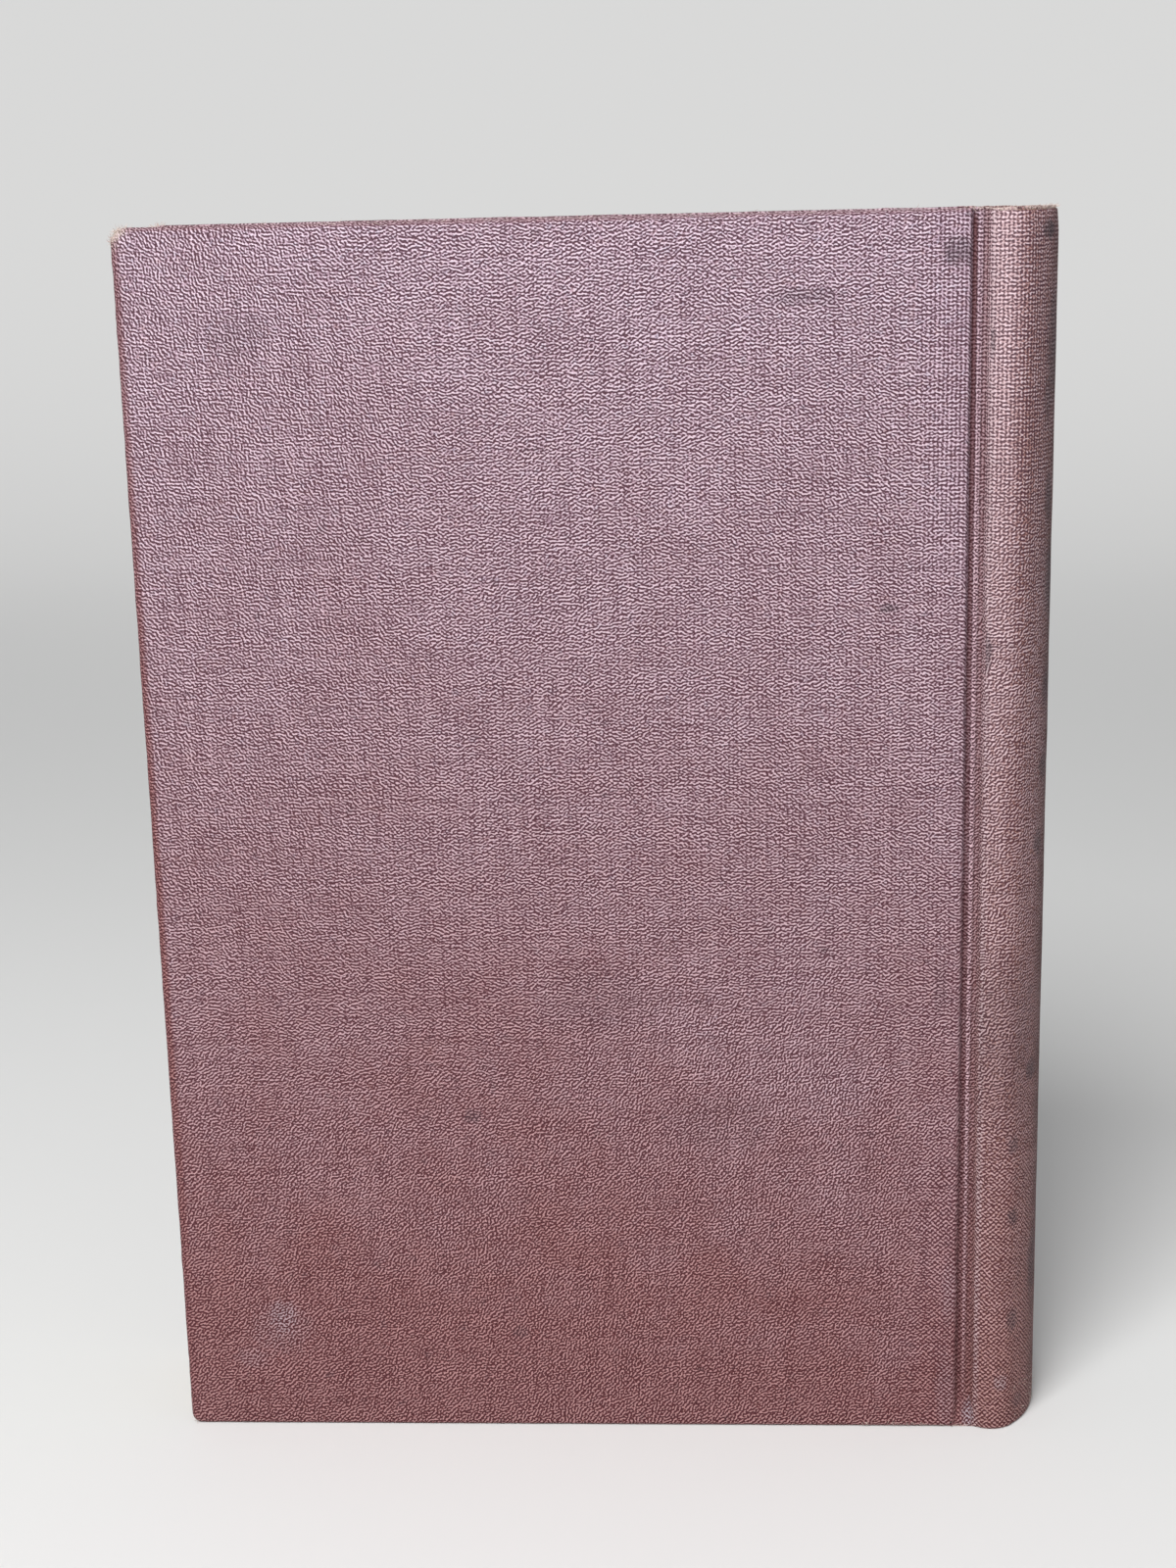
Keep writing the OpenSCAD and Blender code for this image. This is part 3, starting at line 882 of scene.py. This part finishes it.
class BOOK_OT_spine(bpy.types.Operator):
    """Model the cloth of the spine, spun round its shoulders and folded in at head and tail"""
    bl_idname = "book.spine"
    bl_label = "Spine"

    def wall(self):
        """The section of the spine's wall at the back groove, one upright face with rounded ends"""
        outer, inner = shoulder_point(0, 0), shoulder_point(0, SPINE_WALL / MM)
        spine = upright_plane("spine_covering", outer, inner, 0.0, BOOK_H)
        bpy.ops.mesh.select_all(action="SELECT")
        bpy.ops.mesh.bevel(offset=SPINE_WALL * 0.46, segments=5, affect="VERTICES")
        return spine

    def sweep(self):
        """Spins the selected face round the back shoulder, the spine and the front shoulder"""
        front_corner = Vector((CORNER.x, -CORNER.y, 0))
        turns = (
            (CORNER, SHOULDER_SWEEP, 14), (CENTRE, 2 * SPINE_ANGLE, 30), (front_corner, SHOULDER_SWEEP, 14),
        )
        for centre, angle, steps in turns:
            bpy.ops.mesh.spin(steps=steps, angle=-angle, center=centre, axis=(0, 0, 1))

    def thin(self, spine):
        """Takes the folded-in thickness off the inside, between the turned-in ends"""
        def inside(v):
            return TURN_IN < v.co.z < BOOK_H - TURN_IN and along_spine(v.co)[1] > SPINE_WALL * 0.6
        if not pick(spine, "VERT", inside):
            raise RuntimeError("no inner face found on the spine's cloth")
        bpy.ops.transform.shrink_fatten(value=-(SPINE_WALL - CLOTH))

    def unroll(self, point, centre):
        length, depth = along_spine(point)
        rise = depth if min(centre.z, BOOK_H - centre.z) < 2 * MM or depth > SPINE_WALL / 2 else 0.0
        return length + SPINE_START, point.z + (rise if point.z > BOOK_H / 2 else -rise)

    def worn(self, point):
        head, tail = BOOK_H - point.z, point.z
        rim = max(near(head, 0.8 * MM) * 0.55, near(tail, 0.8 * MM) * 0.35)
        back_turn = near(abs(abs(point.y) - 5 * MM), 6 * MM) * near(tail, 8 * MM) * 0.62
        ends = max(near(abs(tail - 5.5 * MM), 3 * MM), near(abs(head - 2 * MM), 4 * MM))
        return min(1.0, max(rim, back_turn, near(abs(abs(point.y) - 1.5 * MM), 1.3 * MM) * ends * 0.8))

    def execute(self, context):
        spine = self.wall()
        bpy.ops.mesh.select_all(action="SELECT")
        self.sweep()
        object_mode()
        clean(spine)
        edit(spine)
        cut_across("z", [TURN_IN, BOOK_H - TURN_IN] + evenly(SPINE_WALL, BOOK_H - SPINE_WALL, 2.5 * MM))
        self.thin(spine)
        object_mode()
        lay_flat_map(spine, self.unroll)
        lay_values(spine, "worn", self.worn)
        crumple(spine, 0.16 * MM, 13 * MM, lambda p: float(along_spine(p)[1] < SPINE_WALL * 0.3))
        crumple(spine, 0.34 * MM, 1.5 * MM, lambda p: near(min(p.z, BOOK_H - p.z), 4 * MM))
        press(spine, -0.45 * MM,
              lambda p: near(BOOK_H - p.z, 1.6 * MM) * (along_spine(p)[1] < SPINE_WALL * 0.4))
        smooth(spine)
        dress(spine, book_cloth("spine_cloth_finish", SPINE_DARK_MARKS, SPINE_PALE_MARKS))
        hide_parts("spine_cloth")
        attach(spine, "book_block")
        return {"FINISHED"}


class BOOK_OT_grooves(bpy.types.Operator):
    """Model the cloth of both grooves, from the board's edge to the shoulder"""
    bl_idname = "book.grooves"
    bl_label = "Grooves"

    def unroll(self, point, centre):
        """The path always runs towards the spine, so the place across gives the length along it"""
        for i in range(len(GROOVE) - 1):
            if point.x <= GROOVE[i + 1].x or i == len(GROOVE) - 2:
                part = (point.x - GROOVE[i].x) / (GROOVE[i + 1].x - GROOVE[i].x)
                part = min(1.0, max(0.0, part))
                break
        length = GROOVE_LENGTHS[i] + part * (GROOVE_LENGTHS[i + 1] - GROOVE_LENGTHS[i])
        return GROOVE_START + length, point.z

    def sunk(self, point):
        """How deep in the groove, for its painted shade: 1 on its floor, half that in the second crease,
        nothing on the ridge
        """
        depth = (point.y + FACE_Y) / MM
        slope = max(0.0, min(1.0, (depth - 1.36) / 0.55))
        crease = near(abs(point.x - SHOULDER_X + 0.25 * MM), 0.6 * MM) * 0.9
        return slope if point.x < HINGE.x else max(slope * 0.7, crease * min(1.0, depth / 1.6))

    def fill_ends(self, sheet):
        """Runs the groove out at head and tail, where the folded-in cloth is doubled and pressed flat"""
        edit(sheet)
        cut_across("z", [0.7 * MM, 1.5 * MM, 3.8 * MM, BOOK_H - 1.4 * MM, BOOK_H - 0.6 * MM])
        object_mode()

        def rise(p):
            share = max(near(p.z, 8 * MM), near(BOOK_H - p.z, 2.0 * MM) * 0.45)
            return share * min(1.0, max(0.0, (p.y + FACE_Y) / MM - 0.4) / 1.6)
        press(sheet, -1.5 * MM, rise, "Y")

    def execute(self, context):
        back = upright_sheet("back_groove_cloth", GROOVE, GROOVE_MARGIN, BOOK_H - GROOVE_MARGIN)
        self.fill_ends(back)
        lay_flat_map(back, self.unroll)
        lay_values(back, "worn", lambda p: near(min(p.z, BOOK_H - p.z), 0.8 * MM) * 0.6)
        lay_values(back, "sunk", self.sunk)
        crumple(back, 0.10 * MM, 12 * MM, lambda p: 1.0)
        thicken(back, CLOTH)
        trim_foot(back, GROOVE_MARGIN)
        smooth(back)
        front = mirrored(back, "front_groove_cloth")
        for side, piece, sign in zip(SIDES, (back, front), (-1, 1)):
            dress(piece, bpy.data.materials[f"{side}_cloth"])
            flex(piece, side)
        return {"FINISHED"}


class BOOK_OT_pages(bpy.types.Operator):
    """Model the pages as one block of sewn sections, with a fine step where two sections meet"""
    bl_idname = "book.pages"
    bl_label = "Pages"

    def execute(self, context):
        block = duplicate(frame["nodes"]["text_block"], "page_block")
        clean(block)
        edit(block, "SELECT")
        bpy.ops.mesh.dissolve_limited(angle_limit=radians(0.5))
        steps = evenly(BLOCK_LOW.y, BLOCK_HIGH.y, sizes().section)
        draws = random.Random(7)
        half_step = 0.14 * MM
        for y in steps:
            cut_across("y", [y - half_step, y, y + half_step])
        hollow = BLOCK_LOW.x + 6 * MM
        for y in steps:
            deep = (0.16 + 0.12 * draws.random()) * MM
            sides = (
                (lambda v: v.co.z > BLOCK_HIGH.z - 0.01 * MM, (0, 0, -deep)),
                (lambda v: v.co.z < BLOCK_LOW.z + 0.01 * MM, (0, 0, deep)),
                (lambda v: v.co.x < hollow, (deep, 0, 0)),
            )
            for on_side, move in sides:
                if pick(block, "VERT", lambda v: abs(v.co.y - y) < 0.01 * MM and on_side(v)):
                    bpy.ops.transform.translate(value=move)
        object_mode()
        smooth(block, 30)
        dress(block, aged_paper("page_edges", colours().page, edges=True))
        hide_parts("text_block")
        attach(block, "book_block")
        return {"FINISHED"}


class BOOK_OT_endpapers(bpy.types.Operator):
    """Finish the pasted and free endpapers, and model the folds that join them"""
    bl_idname = "book.endpapers"
    bl_label = "Endpapers"

    def execute(self, context):
        sheet = aged_paper("endpaper", colours().endpaper)
        for side in SIDES:
            for node in (f"{side}_pastedown", f"{side}_flyleaf"):
                dress(frame["nodes"][node], sheet)
        pasted, free = COVER_T - FACE_Y, (LEAF_LOW.y + LEAF_HIGH.y) / 2
        rise = free - pasted
        places = (
            (BOARD_HIGH.x - 2.6 * MM, 0.0), (BOARD_HIGH.x - 1.3 * MM, 0.0), (BOARD_HIGH.x - 0.1 * MM, 0.02),
            (BOARD_HIGH.x + 0.5 * MM, 0.1), (BOARD_HIGH.x + 1.0 * MM, 0.3), (HINGE.x, 0.55),
            (HINGE.x + 0.45 * MM, 0.78), (LEAF_HIGH.x - 0.7 * MM, 0.94), (LEAF_HIGH.x - 0.2 * MM, 1.0),
        )
        path = [Vector((x, pasted + rise * share, 0)) for x, share in places]
        back = upright_sheet("back_endpaper_fold", path, LEAF_LOW.z, LEAF_HIGH.z)
        thicken(back, LEAF_HIGH.y - LEAF_LOW.y, 0.0)
        smooth(back)
        front = mirrored(back, "front_endpaper_fold")
        for side, piece, sign in zip(SIDES, (back, front), (1, -1)):
            dress(piece, sheet)
            flex(piece, side)
        return {"FINISHED"}


class BOOK_OT_linings(bpy.types.Operator):
    """Finish the boards, the mull and the linings"""
    bl_idname = "book.linings"
    bl_label = "Linings"

    def execute(self, context):
        grey, mull = card("grey_board", (0.34, 0.29, 0.22), 0.8), woven_mull("open_mull")
        kraft = card("kraft_lining", (0.42, 0.27, 0.14), 0.5)
        finishes = {"spine_mull": mull, "spine_lining": kraft, "spine_inlay": kraft}
        for side in SIDES:
            finishes.update({f"{side}_board": grey, f"{side}_mull_flange": mull})
        for node, finish in finishes.items():
            dress(frame["nodes"][node], finish)
        return {"FINISHED"}


class BOOK_OT_bands(bpy.types.Operator):
    """Model the head and tail bands, thread wound round a core, on a strip of tape"""
    bl_idname = "book.bands"
    bl_label = "Head and tail bands"

    def turn_of(self, point):
        return atan2(point.y, point.x - CENTRE.x)

    def execute(self, context):
        reach = SPINE_ANGLE * 0.96
        tape = SPINE_R - SPINE_TO_PAGES + MULL / 2
        core = tape - BEAD_R
        start, upright = outward(-reach), (pi / 2, 0, -reach)
        top = BAND_HIGH.z - BEAD_R
        bpy.ops.mesh.primitive_circle_add(
            vertices=12, radius=BEAD_R * 0.96, fill_type="NGON", location=CENTRE + start * core + up(top),
            rotation=upright)
        band = named("head_band_winding")
        settle(band)
        edit(band)
        tape_middle = CENTRE + start * tape + up((BAND_LOW.z + top) / 2)
        bpy.ops.mesh.primitive_plane_add(size=1, location=tape_middle, rotation=upright)
        bpy.ops.transform.resize(value=(MULL, MULL, top - BAND_LOW.z), center_override=tape_middle)
        bpy.ops.mesh.select_all(action="SELECT")
        winds = 2 * round(2 * reach * core / (0.42 * MM))
        bpy.ops.mesh.spin(steps=winds, angle=-2 * reach, center=CENTRE, axis=(0, 0, 1))
        step = 2 * reach / winds

        def between_winds(v):
            ring = round((self.turn_of(v.co) + reach) / step)
            on_bead = hypot(v.co.x - CENTRE.x, v.co.y) < SPINE_R - SPINE_TO_PAGES + BEAD_R
            return ring % 2 and on_bead and v.co.z > top - BEAD_R * 1.01
        pick(band, "VERT", between_winds)
        bpy.ops.transform.shrink_fatten(value=-0.09 * MM)
        object_mode()
        clean(band)
        lay_values(band, "stripe", lambda p: float(int((self.turn_of(p) + reach) / (step * 8)) % 2))
        smooth(band, 80)
        tail = mirrored(band, "tail_band_winding", (1, 1, -1), (0, 0, BOOK_H / 2))
        silk = wound_silk("wound_silk")
        for piece, node in ((band, "head_band"), (tail, "tail_band")):
            dress(piece, silk)
            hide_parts(node)
            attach(piece, "book_block")
        return {"FINISHED"}


class BOOK_OT_fraying(bpy.types.Operator):
    """Model the loose fibres at the worn corners and ends of the cloth"""
    bl_idname = "book.fraying"
    bl_label = "Frayed fibres"

    # The model fibre's root is a tenth of a unit across, which this makes 0.08 mm
    width = 0.8 * MM
    # How many fibres stand at each worn place
    head_corner, tail_corner, head_edge, joint_foot, spine_head, spine_foot = 150, 18, 36, 44, 60, 70

    def fibre(self):
        """One fibre, 1 unit long, tapered and bent"""
        bpy.ops.mesh.primitive_circle_add(vertices=5, radius=0.05, fill_type="NGON", location=(0, 0, 0))
        fibre = named("fibre")
        edit(fibre, "SELECT")
        for lean, size in ((0.02, 0.95), (0.08, 0.9), (0.16, 0.8), (0.24, 0.6)):
            extrude((lean, 0, 0.25))
            bpy.ops.transform.resize(value=(size, size, 1))
        object_mode()
        clean(fibre)
        return fibre

    def strew(self, name, body, model, roots, draws):
        """Copies the fibre to each root: its place, its direction and its share of the longest fibre"""
        copies = []
        for place, direction, share in roots:
            direction = Vector(direction) + Vector([draws.uniform(-0.5, 0.5) for _ in range(3)])
            twist = Matrix.Rotation(draws.uniform(0, 2 * pi), 4, "Z")
            turn = direction.to_track_quat("Z", "Y").to_matrix().to_4x4() @ twist
            length = sizes().fibre * share * draws.uniform(0.5, 1.0)
            size = Matrix.Diagonal((self.width, self.width, length, 1))
            copies.append(duplicate(model, "fibre"))
            copies[-1].matrix_world = Matrix.Translation(place) @ turn @ size
        choose(copies[0])
        for copy in copies:
            copy.select_set(True)
        bpy.ops.object.join()
        joined = named(name)
        settle(joined)
        trim_foot(joined, 0.02 * MM)
        dress(joined, bpy.data.materials["loose_fibre"])
        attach(joined, body)

    def on_cover(self, sign, draws):
        """The roots on one cover: both fore-edge corners, the head edge and the foot of the joint"""
        def depth(low, high):
            return sign * (FACE_Y - draws.uniform(low, high) * MM)
        for _ in range(self.head_corner):
            turn = draws.uniform(-0.1, 0.6 * pi)
            away = Vector((-cos(turn), 0, sin(turn)))
            centre = Vector((FORE_X + 2.3 * MM, depth(0.0, 2.4), BOOK_H - 2.3 * MM))
            reach = draws.uniform(1.0, 2.2) * MM
            yield centre + away * reach, away * 0.8 + Vector((-0.2, sign * 0.35, 0.2)), 0.75
        for _ in range(self.tail_corner):
            turn = draws.uniform(0.0, pi / 2)
            away = Vector((-cos(turn), 0, -sin(turn)))
            centre = Vector((FORE_X + 1.9 * MM, depth(0.1, 2.6), 1.9 * MM))
            yield centre + away * 1.6 * MM, away * 0.4 + Vector((0, sign * 0.4, 0)), 0.45
        for _ in range(self.head_edge):
            x = draws.uniform(FORE_X + 3 * MM, EDGE_X)
            yield Vector((x, depth(0.3, 1.8), BOOK_H - 0.15 * MM)), (1.2, 0, 0.12), 0.8
        for _ in range(self.joint_foot):
            x = draws.uniform(EDGE_X - 17 * MM, EDGE_X - 1 * MM)
            yield Vector((x, depth(0.0, 0.3), draws.uniform(0.4, 1.0) * MM)), (0.6, sign * 0.8, 0.1), 0.42

    def on_spine(self, draws):
        """The roots on the spine: its head, and its foot on the side towards the back cover"""
        for _ in range(self.spine_head):
            away = outward(draws.uniform(-SPINE_ANGLE, SPINE_ANGLE))
            place = CENTRE + away * (SPINE_R - draws.uniform(0.1, 0.9) * MM) + up(BOOK_H - 0.2 * MM)
            yield place, away * 0.5 + Vector((-away.y, away.x, 0.35)), 0.55
        for _ in range(self.spine_foot):
            away = outward(draws.uniform(-SPINE_ANGLE * 0.95, SPINE_ANGLE * 0.1))
            place = CENTRE + away * (SPINE_R - 0.15 * MM) + up(draws.uniform(0.4, 7.0) * MM)
            yield place, away * 0.35 + Vector((0, -0.2, 0.7)), 0.45

    def execute(self, context):
        loose_fibre("loose_fibre")
        model = self.fibre()
        draws = random.Random(11)
        for side, sign in zip(SIDES, (-1, 1)):
            roots = list(self.on_cover(sign, draws))
            self.strew(f"{side}_cover_fraying", f"{side}_cover", model, roots, draws)
        self.strew("spine_fraying", "book_block", model, list(self.on_spine(draws)), draws)
        bpy.data.objects.remove(model)
        return {"FINISHED"}


class BOOK_OT_stage(bpy.types.Operator):
    """Set up the floor, the soft light and the camera"""
    bl_idname = "book.stage"
    bl_label = "Stage"

    def lamp(self, name, place, aim, size, watts):
        lamp = bpy.data.objects.new(name, bpy.data.lights.new(name, "AREA"))
        lamp.data.shape, lamp.data.size, lamp.data.energy = "SQUARE", size, watts
        lamp.location = place
        lamp.rotation_euler = (Vector(aim) - Vector(place)).to_track_quat("-Z", "Y").to_euler()
        link(lamp)

    def backdrop(self):
        """A floor that curves up into a wall behind the book"""
        behind, wall = 1.7, 3.0
        bpy.ops.mesh.primitive_plane_add(size=6, location=(0, -1.2, 0))
        floor = named("floor_and_backdrop")
        settle(floor)
        edit(floor)
        pick(floor, "EDGE", lambda e: middle(e).y > behind)
        extrude((0, 0, wall))
        pick(floor, "EDGE", lambda e: middle(e).y > behind and middle(e).z < 0.1)
        bpy.ops.mesh.bevel(offset=0.9, segments=24)
        object_mode()
        smooth(floor, 60)
        shader = Shader("pale_floor")
        far = shader.place()[1].smooth(250.0, 1500.0)
        rays = shader.node("ShaderNodeLightPath").socket.node.outputs
        kinds = ("Is Camera Ray", "Is Glossy Ray", "Is Transmission Ray")
        camera, glossy, clear = [Sum(shader, rays[kind]) for kind in kinds]
        seen = (camera + glossy + clear).clamped() * far * 0.85
        glow = shader.node("ShaderNodeEmission", {}, {"Color": (0.74, 0.74, 0.735, 1.0)})
        shader.finish(Base_Color=(0.80, 0.80, 0.79), Roughness=0.9, Specular_IOR_Level=0.1)
        paint = Sum(shader, shader.surface.outputs[0])
        both = shader.node("ShaderNodeMixShader", {}, (seen, paint, glow))
        shader.links.new(both.socket, shader.nodes["Material Output"].inputs["Surface"])
        dress(floor, shader.material)

    def execute(self, context):
        scene = context.scene
        self.backdrop()
        scene.world = bpy.data.worlds.new("soft_room")
        scene.world.use_nodes = True
        background = scene.world.node_tree.nodes["Background"]
        background.inputs["Color"].default_value = (0.97, 0.98, 1.0, 1.0)
        background.inputs["Strength"].default_value = 0.36
        self.lamp("key", (-0.22, -0.66, 0.92), aim=(0, 0, 0.16), size=0.45, watts=11.0)
        self.lamp("fill", (-0.1, -1.4, 0.6), aim=(0, 0, 0.1), size=0.8, watts=2.0)

        camera = bpy.data.objects.new("camera", bpy.data.cameras.new("camera"))
        camera.location, camera.rotation_euler = CAMERA_PLACE, CAMERA_TURN
        camera.data.sensor_width, camera.data.lens = 36, CAMERA_LENS
        camera.data.clip_start = 0.01
        link(camera)
        scene.camera = camera
        scene.view_settings.view_transform = "Standard"
        return {"FINISHED"}


STEPS = (BOOK_OT_stage, BOOK_OT_covers, BOOK_OT_spine, BOOK_OT_grooves, BOOK_OT_pages, BOOK_OT_endpapers,
         BOOK_OT_linings, BOOK_OT_bands, BOOK_OT_fraying)


class BOOK_PT_panel(bpy.types.Panel):
    """Lists the book's sizes and colours, and the steps that build it"""
    bl_idname = "BOOK_PT_panel"
    bl_label = "Book"
    bl_space_type = "VIEW_3D"
    bl_region_type = "UI"
    bl_category = "Book"

    def draw(self, context):
        for group in (context.scene.book_colours, context.scene.book_sizes):
            for name in group.__annotations__:
                self.layout.prop(group, name)
        for step in STEPS:
            self.layout.operator(step.bl_idname)


CLASSES = (BookColours, BookSizes) + STEPS + (BOOK_PT_panel,)


def register():
    for made in CLASSES:
        bpy.utils.register_class(made)
    bpy.types.Scene.book_colours = bpy.props.PointerProperty(type=BookColours)
    bpy.types.Scene.book_sizes = bpy.props.PointerProperty(type=BookSizes)


def unregister():
    del bpy.types.Scene.book_sizes
    del bpy.types.Scene.book_colours
    for made in reversed(CLASSES):
        bpy.utils.unregister_class(made)


def main():
    register()
    bpy.ops.book.stage()
    bpy.ops.book.covers()
    bpy.ops.book.spine()
    bpy.ops.book.grooves()
    bpy.ops.book.pages()
    bpy.ops.book.endpapers()
    bpy.ops.book.linings()
    bpy.ops.book.bands()
    bpy.ops.book.fraying()


if __name__ == "__main__":
    main()
